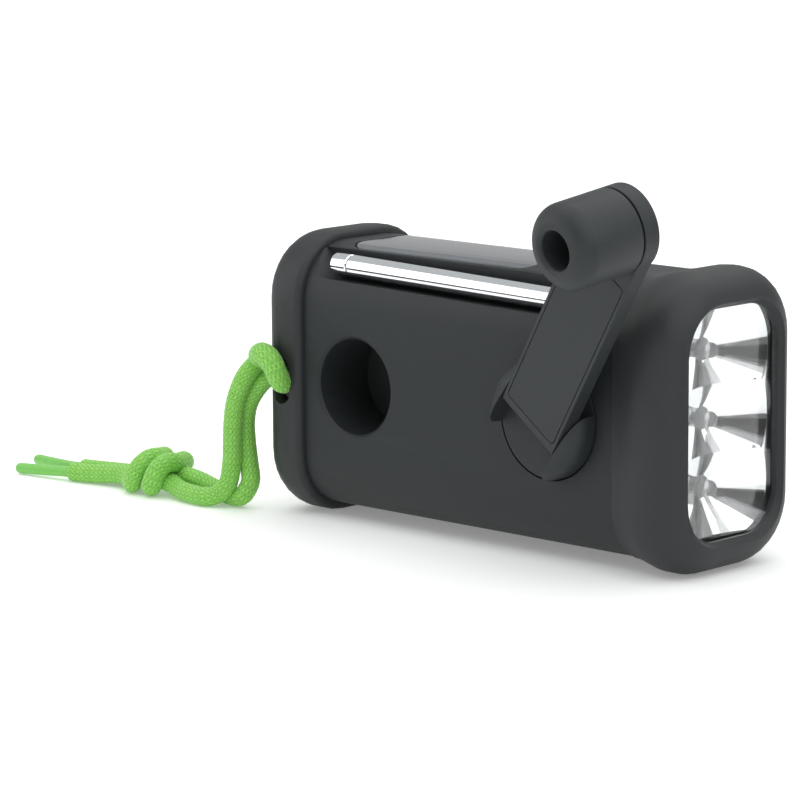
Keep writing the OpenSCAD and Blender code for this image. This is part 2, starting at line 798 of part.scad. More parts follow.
// Tube number k of the telescope, the largest first
module telescope_tube(k) color("#e3e5e8") on_antenna() difference() {
    bar_x(antenna_r - k * antenna_step, tube_start + k * tip_edge, tube_end - tip_edge);
    bar_x(antenna_r - (k + 1) * antenna_step + run_gap, tube_start + (k + 1) * tip_edge, tube_end + cut);
}
module antenna_tube_1() telescope_tube(0);
module antenna_tube_2() telescope_tube(1);
module antenna_tube_3() telescope_tube(2);
module antenna_rod() color("#e3e5e8") on_antenna()
    bar_x(antenna_r - 3 * antenna_step, tube_start + 3 * tip_edge, tube_end);
module antenna_tip() color("#e3e5e8") on_antenna() {
    bar_x(antenna_r, tube_end, antenna_len - tip_edge);
    bar_x(antenna_r - tip_edge, antenna_len - tip_edge, antenna_len);
}

// Crank

module crank_hub() color("#424445") difference() {
    union() {
        on_face() {
            translate([0, 0, -hub_t])
                cylinder(r = hub_r, h = hub_t);
            intersection() {
                rotate_extrude()
                    ear_profile();
                for (s = [-1, 1])
                    translate([-hub_r, s > 0 ? ear_gap : -hub_r, -cut])
                        cube([2 * hub_r, hub_r - ear_gap, ear_top + 2 * cut]);
            }
        }
        at_xz([hub_x, crank_z])
            bar_y(shaft_d / 2 - run_gap, y_front + hub_t - 0.01, y_gear_1 + clip_t + 0.6);
    }
    on_face()
        translate([0, 0, hinge_lift])
            rotate([90, 0, 0])
                cylinder(d = hinge_pin_d, h = hinge_pin_len, center = true);
    at_xz([hub_x, crank_z])
        shaft_flat_cut();
}
// Half section of the hinge ears: a flat top with a round shoulder
module ear_profile()
    polygon(concat([[0, -0.01], [hub_r, -0.01]],
        [for (a = [0:10:90])
            [hub_r - ear_shoulder * (1 - cos(a)), ear_top - ear_shoulder * (1 - sin(a))]],
        [[0, ear_top]]));
// The flat on the shaft that drives the gear
module shaft_flat_cut()
    translate([-shaft_d, y_gear, shaft_flat])
        cube([2 * shaft_d, 2 * drive_face + clip_t, shaft_d]);
module crank_hinge_pin() color("#c4c6c8") on_face()
    translate([0, 0, hinge_lift])
        rotate([90, 0, 0])
            cylinder(d = hinge_pin_d, h = hinge_pin_len, center = true);
module crank_arm() color("#3f4142") on_arm() difference() {
    union() {
        translate([0, -arm_w / 2, -arm_t / 2])
            cube([arm_r, arm_w, arm_t]);
        bar_y(arm_t / 2, -arm_w / 2, arm_w / 2);
        translate([arm_r, 0, -arm_t / 2])
            cylinder(d = knob_d, h = arm_t);
    }
    bar_y(hinge_pin_d / 2 + run_gap, -arm_w, arm_w);
    translate([plate_mid, 0, arm_t / 2 - plate_sink])
        linear_extrude(arm_t)
            plate_outline(seat_gap);
    translate([arm_r, 0, -arm_t])
        cylinder(r = axle_r, h = 2 * arm_t);
}
module plate_outline(grow)
    polygon(rounded_points(plate_len + 2 * grow, arm_w - 2 * plate_edge + 2 * grow, plate_edge + grow));
module arm_plate() color("#434546") on_arm()
    translate([plate_mid, 0, arm_t / 2 - plate_sink])
        linear_extrude(plate_sink)
            plate_outline(0);
module crank_knob() color("#454748") on_arm()
    translate([arm_r, 0, arm_t / 2 + knob_gap])
        difference() {
            rotate_extrude()
                knob_profile();
            translate([0, 0, knob_floor])
                cylinder(d = knob_hole_d, h = knob_len);
            translate([0, 0, -cut])
                cylinder(r = axle_r + run_gap, h = knob_len);
        }
// Half section of the knob: straight sides and a round front edge
module knob_profile()
    polygon(concat([[0, 0], [knob_d / 2, 0]],
        [for (a = [0:10:90])
            [knob_d / 2 - knob_edge_r * (1 - cos(a)), knob_body - knob_edge_r * (1 - sin(a))]],
        [[0, knob_body]]));
module knob_screw() color("#8f9296") on_arm()
    translate([arm_r, 0, 0])
        difference() {
            head = arm_t / 2 + knob_gap + knob_floor + 0.3;
            union() {
                translate([0, 0, -arm_t / 2])
                    cylinder(r = axle_r, h = arm_t / 2 + head);
                translate([0, 0, head])
                    cylinder(r = knob_screw_r, h = knob_screw_t);
            }
            for (a = [0, 90])
                rotate([0, 0, a])
                    translate([-1.6, -0.3, head + knob_screw_t / 2])
                        cube([3.2, 0.6, knob_screw_t]);
        }

// Gear train

module hub_bush() color("#b08d4a") at_xz([hub_x, crank_z]) difference() {
    bar_y(shaft_d / 2 + bush_t, y_pocket, y_pocket + bush_len);
    bar_y(shaft_d / 2, y_pocket - cut, y_pocket + bush_len + cut);
}
// Bore of a piece that is driven by the flat
module shaft_bore(y0, y1) difference() {
    bar_y(shaft_d / 2 - run_gap, y0 - cut, y1 + cut);
    translate([-shaft_d, y0 - 2 * cut, shaft_flat])
        cube([2 * shaft_d, y1 - y0 + 4 * cut, shaft_d]);
}
module drive_gear() color("#e4e2d8") at_xz([hub_x, crank_z]) difference() {
    gear_y(module_1, drive_teeth, y_gear, drive_face);
    shaft_bore(y_gear, y_gear_1);
    for (a = [30:60:330])
        rotate([0, a, 0])
            translate([(drive_r + shaft_d / 2) / 2, 0, 0])
                bar_y(drive_r / 6, y_gear - cut, y_gear_1 + cut);
}
module shaft_clip() color("#9a9da1") at_xz([hub_x, crank_z]) difference() {
    bar_y(clip_r, y_gear_1, y_gear_1 + clip_t);
    shaft_bore(y_gear_1, y_gear_1 + clip_t);
}
module compound_gear() color("#e4e2d8") at_xz([step_x, crank_z]) difference() {
    union() {
        gear_y(module_1, pinion_teeth, y_gear - 0.2, y_step - y_gear + 0.2, pinion_shift);
        gear_y(module_2, step_teeth, y_step, step_face);
    }
    bar_y(axle_r + run_gap, y_gear - cut, y_step + step_face + cut);
}
module gear_axle() color("#b9bcc0") at_xz([step_x, crank_z])
    bar_y(axle_r, y_gear - 0.4, y_plate_1);
module gear_plate() color("#8d9094") difference() {
    translate([(post_x + posts[2][0]) / 2, 0, (posts[0][1] + posts[1][1]) / 2])
        prism_y(y_plate, y_plate_1, posts[2][0] - post_x + 2 * plate_edge_r,
            posts[1][1] - posts[0][1] + 2 * plate_edge_r, plate_edge_r);
    for (p = posts)
        at_xz(p)
            bar_y(pilot_r + seat_gap, y_plate - cut, y_plate_1 + cut);
    at_xz([step_x, crank_z])
        bar_y(axle_r, y_plate - cut, y_plate_1 + cut);
    at_xz([rotor_x, rotor_z])
        bar_y(generator_nose_r + seat_gap, y_plate - cut, y_plate_1 + cut);
}
module plate_screws() color("#9a9da1")
    for (p = posts)
        at_xz(p)
            screw_y(y_plate_1, y_plate - plate_screw_len, pilot_r, small_head_r, small_head_t);
module generator() color("#a9acb0") at_xz([rotor_x, rotor_z]) difference() {
    union() {
        bar_y(generator_r, y_plate_1, y_plate_1 + generator_len);
        bar_y(generator_nose_r, y_plate, y_plate_1 + cut);
    }
    bar_y(rotor_shaft_r + run_gap, y_plate - cut, y_plate_1 + generator_len - 1);
}
module generator_pinion() color("#c9b06a") at_xz([rotor_x, rotor_z]) {
    gear_y(module_2, rotor_teeth, y_step - 0.2, step_face + 0.4, rotor_shift);
    bar_y(rotor_shaft_r, y_step, y_plate_1 + generator_len - 1.3);
}

// Electrics

module battery_pack() color("#3d6d8c")
    translate([battery_x, 0, z_base + wall])
        linear_extrude(battery_h)
            polygon(rounded_points(battery_len, battery_w, 2));
module main_board() color("#2c5a34") difference() {
    translate([board_x[0], board_y, board_z[0]])
        cube([board_x[1] - board_x[0], board_t, board_z[1] - board_z[0]]);
    for (p = board_bosses)
        at_xz(p)
            bar_y(screw_r + seat_gap, board_y - cut, board_back + cut);
    for (p = [tuning_at, volume_at])
        at_xz(p)
            bar_y(dial_shaft_r + dial_gap, board_y - cut, board_back + cut);
    for (p = bosses)
        at_xz(p)
            bar_y(boss_r + move_gap, board_y - cut, board_back + cut);
}
module board_screws() color("#9a9da1")
    for (p = board_bosses)
        at_xz(p)
            mirror([0, 1, 0])
                screw_y(-board_y, -board_y - board_screw_len, pilot_r, small_head_r, small_head_t);
module speaker_frame() color("#55585b") at_xz(speaker_at)
    rotate([-90, 0, 0])
        rotate_extrude()
            polygon([[magnet_r, y_basket], [speaker_r - basket_edge, y_rim], [speaker_r, y_rim],
                [speaker_r, y_rim_back], [speaker_r - rim_w, y_rim_back],
                [speaker_r - rim_w, y_rim + basket_t], [speaker_r - cone_edge, y_rim + basket_t],
                [magnet_r, y_basket + basket_t]]);
module speaker_cone() color("#26282a") at_xz(speaker_at)
    rotate([-90, 0, 0])
        rotate_extrude()
            polygon(concat([for (p = cone_line) [p[0], p[1]]],
                [for (p = reversed(cone_line)) [p[0], p[1] + cone_t]]));
module speaker_magnet() color("#7d8083") at_xz(speaker_at)
    bar_y(magnet_r, y_magnet, y_basket + basket_t);
module tuning_capacitor() color("#d7d4c8") at_xz(tuning_at) difference() {
    translate([-capacitor_w / 2, board_y - capacitor_t, -capacitor_w / 2])
        cube([capacitor_w, capacitor_t, capacitor_w]);
    bar_y(dial_shaft_r + run_gap, board_y - shaft_in - shaft_end, board_y + cut);
}
// Finger dial with a notched rim and a pointer slot, on a shaft
module dial(d, grips) difference() {
    union() {
        bar_y(d / 2, y_dial, y_dial + dial_t);
        bar_y(dial_shaft_r, board_y - shaft_in, y_dial + cut);
    }
    for (k = [0:grips - 1])
        rotate([0, 360 * k / grips, 0])
            translate([d / 2 + grip_r / 2, 0, 0])
                bar_y(grip_r, y_back - 0.4, y_back + dial_t);
    translate([-pointer_w / 2, y_dial + dial_t - pointer_sink, d / 8])
        cube([pointer_w, cut, d / 4]);
}
module tuning_dial() color("#4a4c4d") at_xz(tuning_at)
    dial(tuning_d, 24);
module volume_pot() color("#6d7073") at_xz(volume_at) difference() {
    bar_y(pot_r, board_y - pot_t, board_y);
    bar_y(dial_shaft_r + run_gap, board_y - shaft_in - shaft_end, board_y + cut);
}
module volume_dial() color("#4a4c4d") at_xz(volume_at)
    dial(volume_d, 18);
module band_switch() color("#b9bcc0") at_xz(band_at)
    translate([-slider_w / 2 - switch_end, board_back, -switch_h / 2])
        cube([slider_w + 2 * switch_end, switch_t, switch_h]);
module band_slider() color("#2a2c2d") at_xz(band_at)
    translate([-band_travel / 2, 0, 0]) {
        y_foot = board_back + switch_t + slider_gap;
        translate([-slider_w / 2 - slider_foot, y_foot, -slider_h / 2 - slider_foot])
            cube([slider_w + 2 * slider_foot, y_back - wall - slider_gap - y_foot,
                slider_h + 2 * slider_foot]);
        translate([-slider_w / 2, y_back - wall - slider_gap - 0.1, -slider_h / 2])
            cube([slider_w, wall + slider_gap + 0.1 + slider_proud, slider_h]);
    }
module lamp_switch() color("#2a2c2d") at_xz(button_at)
    translate([-lamp_switch_w / 2, board_back, -lamp_switch_w / 2])
        cube([lamp_switch_w, lamp_switch_t, lamp_switch_w]);
module lamp_button() color("#55585a") at_xz(button_at)
    rotate([-90, 0, 0])
        rotate_extrude() {
            y_foot = board_back + lamp_switch_t + button_travel + slider_gap;
            y_ledge = y_back - wall - button_gap;
            y_face = y_back + button_proud;
            polygon([[0, y_foot], [button_r + button_foot, y_foot], [button_r + button_foot, y_ledge],
                [button_r, y_ledge], [button_r, y_face], [button_r - button_edge, y_face + button_edge],
                [0, y_face + button_edge]]);
        }
module ferrite_rod() color("#35373a")
    translate([0, rod_at[0], rod_at[1]])
        bar_x(rod_r, rod_x[0], rod_x[1]);
module rod_coil() color("#b5763a")
    translate([0, rod_at[0], rod_at[1]])
        difference() {
            bar_x(coil_r, rod_clip_x[0] + coil_in, rod_clip_x[1] - coil_in);
            bar_x(rod_r, rod_clip_x[0] + coil_in - cut, rod_clip_x[1] - coil_in + cut);
        }
module case_screws() color("#9a9da1")
    for (p = bosses)
        at_xz(p)
            screw_y(y_back - head_sink, y_seam - seam_screw_len, pilot_r, head_r, head_t);

// Wrist cord

module lanyard_hitch() color("#78c846")
    translate([slot_c[0], slot_c[1], slot_z])
        rotate([0, 0, 100])
            rotate_extrude(angle = 330)
                translate([slot_ring, 0])
                    circle(r = cord_r);
module lanyard_strands() color("#78c846") {
    sweep(strand_1, cord_r);
    sweep(strand_2, cord_r);
}
module lanyard_knot() color("#78c846")
    translate(knot_at)
        skin([for (a = [-80:20:80]) [for (q = [0:22.5:337.5])
            [knot_half[0] * sin(a), knot_half[1] * cos(a) * cos(q), knot_half[2] * cos(a) * sin(q)]]]);
module lanyard_tails() color("#78c846") {
    sweep(tail_1, cord_r);
    sweep(tail_2, cord_r);
}

front_shell();
back_shell();
left_bumper();
right_bumper();
lamp_lens();
reflector();
lamps();
lamp_board();
solar_cell();
solar_cover();
antenna_stud();
antenna_knuckle();
antenna_pin();
antenna_tube_1();
antenna_tube_2();
antenna_tube_3();
antenna_rod();
antenna_tip();
crank_hub();
crank_hinge_pin();
crank_arm();
arm_plate();
crank_knob();
knob_screw();
hub_bush();
drive_gear();
shaft_clip();
compound_gear();
gear_axle();
gear_plate();
plate_screws();
generator();
generator_pinion();
battery_pack();
main_board();
board_screws();
speaker_frame();
speaker_cone();
speaker_magnet();
tuning_capacitor();
tuning_dial();
volume_pot();
volume_dial();
band_switch();
band_slider();
lamp_switch();
lamp_button();
ferrite_rod();
rod_coil();
case_screws();
lanyard_hitch();
lanyard_strands();
lanyard_knot();
lanyard_tails();
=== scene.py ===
# %% [markdown]
# # A hand-cranked radio with a torch
#
# The part is a small radio in charcoal plastic. A crank on its front drives a generator, three lamps
# shine from its right end, a telescopic antenna lies in a scoop along the top edge, a solar panel sits
# in the top and a green wrist cord hangs from the left bumper. The solids come from the frame. This
# lesson gives them their finish: it re-makes what the eye rests on with modelling operators, and
# dresses the rest in the material that each piece has on the bench.

# %% Load the frame
import json
import math

import bmesh
import bpy
from mathutils import Matrix, Vector

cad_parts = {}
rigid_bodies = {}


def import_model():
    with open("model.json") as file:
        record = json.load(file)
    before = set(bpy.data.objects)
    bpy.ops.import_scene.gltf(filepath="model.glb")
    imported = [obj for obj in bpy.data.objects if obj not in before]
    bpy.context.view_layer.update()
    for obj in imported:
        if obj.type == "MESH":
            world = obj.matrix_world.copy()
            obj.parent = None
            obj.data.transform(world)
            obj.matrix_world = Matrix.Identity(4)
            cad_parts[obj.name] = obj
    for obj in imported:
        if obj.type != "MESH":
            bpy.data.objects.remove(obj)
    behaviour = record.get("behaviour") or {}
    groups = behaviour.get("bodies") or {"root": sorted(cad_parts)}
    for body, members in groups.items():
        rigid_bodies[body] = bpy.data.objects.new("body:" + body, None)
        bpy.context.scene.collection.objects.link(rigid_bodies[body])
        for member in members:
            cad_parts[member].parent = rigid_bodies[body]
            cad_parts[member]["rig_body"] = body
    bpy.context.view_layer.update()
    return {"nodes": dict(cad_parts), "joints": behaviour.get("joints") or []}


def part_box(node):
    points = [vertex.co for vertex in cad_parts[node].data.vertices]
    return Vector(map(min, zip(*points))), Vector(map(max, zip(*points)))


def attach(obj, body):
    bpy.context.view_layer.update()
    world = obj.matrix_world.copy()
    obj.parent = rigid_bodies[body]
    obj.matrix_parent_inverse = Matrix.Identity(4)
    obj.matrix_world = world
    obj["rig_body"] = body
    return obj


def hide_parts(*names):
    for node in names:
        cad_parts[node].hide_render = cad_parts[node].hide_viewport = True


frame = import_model()
MM = 0.001
joints = {joint["name"]: joint for joint in frame["joints"]}

# %% [markdown]
# ## The camera
#
# The photograph looks at the front face from the right and a little above, through a long lens, so the
# sides hardly converge. The lens could be tried by eye, but straight edges of known length fix it: the
# distance, the two angles and the point of aim below put the corners of the housing where they show.

# %% Camera
VIEW_AZIMUTH = math.radians(41.7)
VIEW_HEIGHT = math.radians(9.8)
VIEW_DISTANCE = 773.3 * MM
AIM = Vector((0, 0, 30 * MM))
LENS = 169.25
SENSOR = 36
SHIFT = (-0.152, -0.0116)
NEAREST = 10 * MM

to_camera = Vector((math.sin(VIEW_AZIMUTH) * math.cos(VIEW_HEIGHT),
                    -math.cos(VIEW_AZIMUTH) * math.cos(VIEW_HEIGHT),
                    math.sin(VIEW_HEIGHT)))
camera_data = bpy.data.cameras.new("photo_camera")
camera_data.lens = LENS
camera_data.sensor_width = SENSOR
camera_data.shift_x, camera_data.shift_y = SHIFT
camera_data.clip_start = NEAREST
camera = bpy.data.objects.new("photo_camera", camera_data)
camera.location = AIM + to_camera * VIEW_DISTANCE
camera.rotation_euler = (-to_camera).to_track_quat("-Z", "Y").to_euler()
bpy.context.scene.collection.objects.link(camera)
bpy.context.scene.camera = camera
print("camera stands", round(VIEW_DISTANCE / MM), "mm away")

# %% [markdown]
# ## Materials
#
# Every finish starts from what the real surface is. One function turns a colour as it is read from a
# screen into the linear values that light needs, and one adds a node with its settings and its links.
# What most finishes share has a function as well: noise of a given size, a mix of two colours, a gloss
# that wanders, and a fine relief.

# %% Colour and nodes
MIX_LOW, MIX_HIGH, MIX_RESULT = 6, 7, 2


def linear(hex_colour):
    """A screen colour in linear light, by the sRGB curve."""
    channels = [int(hex_colour[i:i + 2], 16) / 255 for i in (1, 3, 5)]
    return [c / 12.92 if c <= 0.04045 else ((c + 0.055) / 1.055) ** 2.4 for c in channels] + [1]


def add(tree, kind, links=(), **settings):
    """A new node, with values for its sockets or properties and links to its sockets."""
    node = tree.nodes.new(kind)
    for key, value in settings.items():
        if key in node.inputs:
            node.inputs[key].default_value = value
        else:
            setattr(node, key, value)
    for socket, source in dict(links).items():
        tree.links.new(source, node.inputs[socket])
    return node


def blank(name):
    """A new material with its node tree and its shader."""
    material = bpy.data.materials.new(name)
    material.use_nodes = True
    tree = material.node_tree
    return material, tree, tree.nodes["Principled BSDF"]


def settle(shader, **values):
    """Sets sockets of the shader, with underscores for the spaces in their names."""
    for key, value in values.items():
        shader.inputs[key.replace("_", " ")].default_value = value


def per_mm(size_mm):
    """The scale at which a texture repeats about once in so many millimetres."""
    return 1 / (size_mm * MM)


def object_place(tree):
    return add(tree, "ShaderNodeTexCoord").outputs["Object"]


def stretched(tree, place, stretch):
    return add(tree, "ShaderNodeMapping", {"Vector": place}, Scale=stretch).outputs["Vector"]


def noise(tree, place, size_mm, detail):
    node = add(tree, "ShaderNodeTexNoise", {"Vector": place}, Scale=per_mm(size_mm), Detail=detail)
    return node.outputs["Fac"]


def colour_mix(tree, shader, factor, low, high):
    """Paints the shader between two colours. The mix node's sockets share names, so they have numbers."""
    mix = add(tree, "ShaderNodeMix", {"Factor": factor}, data_type="RGBA")
    mix.inputs[MIX_LOW].default_value = low
    mix.inputs[MIX_HIGH].default_value = high
    tree.links.new(mix.outputs[MIX_RESULT], shader.inputs["Base Color"])


def gloss_range(tree, shader, factor, low, high):
    gloss = add(tree, "ShaderNodeMapRange", {"Value": factor}, **{"To Min": low, "To Max": high})
    tree.links.new(gloss.outputs["Result"], shader.inputs["Roughness"])


def relief(tree, shader, height, strength, depth_mm):
    bump = add(tree, "ShaderNodeBump", {"Height": height}, Strength=strength, Distance=depth_mm * MM)
    tree.links.new(bump.outputs["Normal"], shader.inputs["Normal"])


print("mid grey in linear light:", round(linear("#808080")[0], 3))

# %% [markdown]
# The housing is moulded ABS under a soft-touch paint. It looks charcoal and nearly dead matte, with a
# grain too fine to count. The grain here is about a third of a millimetre, coarser than the real one, so
# that it still shows in the picture, and a slow cloud changes the gloss a little, as handling does.

# %% Plastics
PLASTIC_IOR = 1.5
CLOUD_MM = 26
TINT_SWING = 0.1
GLOSS_SWING = 0.05
GRAIN_STEP_MM = 0.1
PAINT_SHINE = 0.3


def soft_touch(name, colour, roughness=0.5, grain_mm=0.35, grain_depth=0.12, shine=0.5):
    """A moulded or painted plastic with a fine grain and a slow cloud in tint and gloss."""
    material, tree, shader = blank(name)
    place = object_place(tree)
    cloud = noise(tree, place, CLOUD_MM, 3.0)
    grain = noise(tree, place, grain_mm, 4.0)
    base = linear(colour)[:3]
    colour_mix(tree, shader, cloud, [c * (1 - TINT_SWING) for c in base] + [1],
               [c * (1 + TINT_SWING) for c in base] + [1])
    gloss_range(tree, shader, cloud, roughness - GLOSS_SWING, roughness + GLOSS_SWING)
    relief(tree, shader, grain, grain_depth, GRAIN_STEP_MM)
    settle(shader, IOR=PLASTIC_IOR, Specular_IOR_Level=shine)
    return material


housing_paint = soft_touch("soft_touch_charcoal", "#262a2b", shine=PAINT_SHINE)
bumper_rubber = soft_touch("soft_touch_bumper", "#2d3031", shine=PAINT_SHINE)
crank_paint = soft_touch("soft_touch_crank", "#2c3031", shine=PAINT_SHINE)
control_plastic = soft_touch("moulded_control_grey", "#55585a", roughness=0.42)
black_plastic = soft_touch("moulded_black", "#1d1f20", roughness=0.38)
gear_plastic = soft_touch("natural_acetal", "#dedbcf", roughness=0.4)
wrap_film = soft_touch("battery_shrink_wrap", "#3d6d8c", roughness=0.3, grain_mm=1.2)
cone_paper = soft_touch("pressed_cone_paper", "#232527", roughness=0.85, grain_mm=0.5, grain_depth=0.5)
print("plastics made")

# %% [markdown]
# Metals differ mostly in how they were finished. The antenna is drawn brass tube under chrome, which
# mirrors its surroundings with faint lines along its length. Turned and punched steel is duller. A metal
# keeps the default refractive index: its colour and roughness carry the look.

# %% Metals
METAL_SWING = 0.3
METAL_STEP_MM = 0.02
ALONG_TUBE = (0.02, 1, 1)
ROUND_COIL = (1, 0.05, 0.05)


def metal(name, colour, roughness, line_mm=0.2, stretch=(1, 1, 1), depth=0.05):
    """A bare or plated metal with fine lines, stretched the way the tool went."""
    material, tree, shader = blank(name)
    lines = noise(tree, stretched(tree, object_place(tree), stretch), line_mm, 3.0)
    gloss_range(tree, shader, lines, roughness * (1 - METAL_SWING), roughness * (1 + METAL_SWING))
    relief(tree, shader, lines, depth, METAL_STEP_MM)
    settle(shader, Base_Color=linear(colour), Metallic=1.0)
    return material


chrome = metal("chromed_brass_tube", "#eceef0", 0.09, 0.3, ALONG_TUBE, 0.03)
mirror_film = metal("vacuum_metallised_reflector", "#f1f3f4", 0.035, 0.8, depth=0.04)
steel = metal("bright_steel", "#b4b7ba", 0.28)
brass = metal("turned_brass", "#c29a52", 0.3)
copper = metal("enamelled_copper", "#b06c36", 0.3, 0.12, ROUND_COIL)
print("metals made")

# %% [markdown]
# Clear pieces are polycarbonate and cast epoxy. Both bend light like glass, but a pane of glass in front
# of a mirror needs many bounces of light, so the thin window is mostly see-through by its alpha. The
# panel's cover is clear as well: seen at a low angle it mirrors the room above it and looks grey. What
# lies under it hardly shows, so that grey is painted into the cover's colour as a painted reflection,
# streaked along its length, under a glossy coat.

# %% Clear plastics, board and cell
POLYCARBONATE_IOR = 1.58
RIPPLE_STEP_MM = 0.05
RIPPLE_STRENGTH = 0.04
STREAK = (0.05, 1, 1)
STREAK_MM = 2.2
FINGER_MM = 2.0
FINGER_EDGE = 0.96
TRACK_MM = 2.5
TRACK_EDGE = 0.06


def clear(name, colour, roughness, ior, ripple_mm, alpha=1.0, through=1.0):
    """A clear plastic whose faces are a little wavy."""
    material, tree, shader = blank(name)
    ripple = noise(tree, object_place(tree), ripple_mm, 2.0)
    relief(tree, shader, ripple, RIPPLE_STRENGTH, RIPPLE_STEP_MM)
    settle(shader, Base_Color=linear(colour), Roughness=roughness, IOR=ior, Alpha=alpha,
           Transmission_Weight=through)
    return material


def glossy_cover():
    material, tree, shader = blank("panel_cover_polycarbonate")
    lines = noise(tree, stretched(tree, object_place(tree), STREAK), STREAK_MM, 2.0)
    # Painted reflection: the streaked grey stands for the room that the clear cover mirrors.
    colour_mix(tree, shader, lines, linear("#33373c"), linear("#5b6066"))
    settle(shader, Roughness=0.12, IOR=POLYCARBONATE_IOR, Coat_Weight=0.6, Coat_Roughness=0.05)
    return material


def silicon_cell():
    """Dark silicon with thin bright fingers across it."""
    material, tree, shader = blank("silicon_cell")
    fingers = add(tree, "ShaderNodeTexWave", {"Vector": object_place(tree)},
                  Scale=per_mm(FINGER_MM) / math.tau, bands_direction="X")
    edge = add(tree, "ShaderNodeMath", {0: fingers.outputs["Fac"]}, operation="GREATER_THAN")
    edge.inputs[1].default_value = FINGER_EDGE
    colour_mix(tree, shader, edge.outputs["Value"], linear("#1a1f33"), linear("#b8bcc2"))
    settle(shader, Roughness=0.25, IOR=PLASTIC_IOR)
    return material


def solder_mask():
    """Green board with lighter lines where copper runs under the mask."""
    material, tree, shader = blank("solder_masked_board")
    tracks = add(tree, "ShaderNodeTexVoronoi", {"Vector": object_place(tree)},
                 Scale=per_mm(TRACK_MM), feature="DISTANCE_TO_EDGE")
    line = add(tree, "ShaderNodeMath", {0: tracks.outputs["Distance"]}, operation="LESS_THAN")
    line.inputs[1].default_value = TRACK_EDGE
    colour_mix(tree, shader, line.outputs["Value"], linear("#1f4a2a"), linear("#2f6b3b"))
    settle(shader, Roughness=0.3, IOR=PLASTIC_IOR)
    return material


window_plastic = clear("clear_polycarbonate", "#fbfcfc", 0.01, POLYCARBONATE_IOR, 6, alpha=0.12)
lamp_epoxy = clear("cast_lamp_epoxy", "#dfe2e2", 0.03, PLASTIC_IOR, 2, through=0.85)
panel_cover = glossy_cover()
cell_silicon = silicon_cell()
board_mask = solder_mask()
print("clear plastics, board and cell made")

# %% [markdown]
# ## The wrist cord
#
# The cord is a braided polyester lace, doubled through the slot in the left bumper, tied in an overhand
# knot and sealed to thin hard tips. A curve with a round bevel would give a smooth hose. A braid has
# relief, so each lace is a fine tube swept along its route with the crossing strands raised on it. The
# routes lie where the solids of the cord lie: down from the slot, on to the table, through the knot.

# %% Routes of the two laces
CORD_D = 4.0
TIP_D = 2.4
LACE_STEP = 0.3 * MM
TIP_STEP = 0.6 * MM
CURVE_STEPS = 24
HITCH = [(-52.4, -13.8, 28.9), (-50.8, -17.0, 28.8), (-49.6, -19.8, 28.7), (-49.0, -21.5, 29.6),
         (-48.9, -22.5, 31.2), (-49.6, -22.8, 32.9), (-51.3, -22.7, 34.3), (-53.6, -22.2, 34.8),
         (-56.0, -20.8, 33.8), (-57.4, -18.4, 32.4), (-56.8, -15.6, 31.2), (-54.8, -13.0, 30.4)]
FRONT_LACE = [(-55.6, -13.2, 29.8), (-57.8, -14.6, 31.2), (-58.4, -17.4, 31.9), (-58.9, -19.6, 30.9),
              (-60.3, -21.0, 28.2), (-62.0, -21.6, 23.8), (-62.8, -21.8, 19.3), (-63.1, -21.8, 14.6),
              (-63.3, -21.9, 9.9), (-64.3, -22.1, 5.4), (-66.6, -22.9, 2.9), (-69.4, -24.0, 2.1),
              (-74.0, -23.8, 2.1), (-78.4, -22.8, 2.2), (-82.1, -22.0, 3.1), (-86.0, -21.3, 3.6),
              (-89.6, -20.0, 3.6), (-92.0, -18.0, 4.2), (-91.6, -16.6, 6.0), (-89.4, -17.2, 7.3),
              (-87.2, -20.2, 7.8), (-87.8, -22.6, 7.8), (-88.7, -24.5, 6.6), (-89.9, -25.4, 4.5),
              (-91.2, -25.1, 2.5), (-93.0, -23.6, 2.2), (-95.4, -22.2, 2.8), (-98.5, -22.0, 2.9),
              (-102, -22.4, 2.6), (-107, -23.4, 2.2), (-111.8, -24.4, 2.1)]
BACK_LACE = [(-54.6, -13.6, 28.2), (-55.6, -15.2, 29.0), (-57.0, -16.6, 28.6), (-59.2, -17.4, 26.6),
             (-61.7, -18.0, 22.9), (-62.9, -18.0, 18.8), (-62.7, -18.0, 14.2), (-61.6, -18.4, 9.7),
             (-60.5, -19.0, 6.4), (-60.9, -19.7, 4.2), (-62.3, -20.1, 2.6), (-65.6, -19.6, 2.1),
             (-71.0, -18.8, 2.6), (-75.6, -18.8, 3.7), (-79.2, -18.7, 4.2), (-82.4, -18.2, 4.2),
             (-85.6, -17.0, 4.2), (-87.4, -15.2, 4.4), (-87.0, -14.2, 5.6), (-85.0, -15.6, 6.6),
             (-83.3, -19.4, 7.0), (-82.9, -22.2, 7.6), (-83.4, -24.3, 6.5), (-84.0, -25.3, 4.6),
             (-85.1, -25.0, 2.8), (-86.8, -23.6, 2.2), (-89.0, -21.4, 2.2), (-92.5, -19.4, 2.5),
             (-97, -18.3, 2.6), (-102, -18.3, 2.4), (-107.7, -18.9, 2.2), (-113, -19.7, 2.1)]
FRONT_TIP = [(-111.6, -24.4, 2.1), (-117, -25.2, 1.8), (-123, -26.1, 1.5), (-127.6, -26.7, 1.3)]
BACK_TIP = [(-112.8, -19.7, 2.1), (-118, -19.2, 1.8), (-125, -18, 1.5), (-132, -16.9, 1.3)]


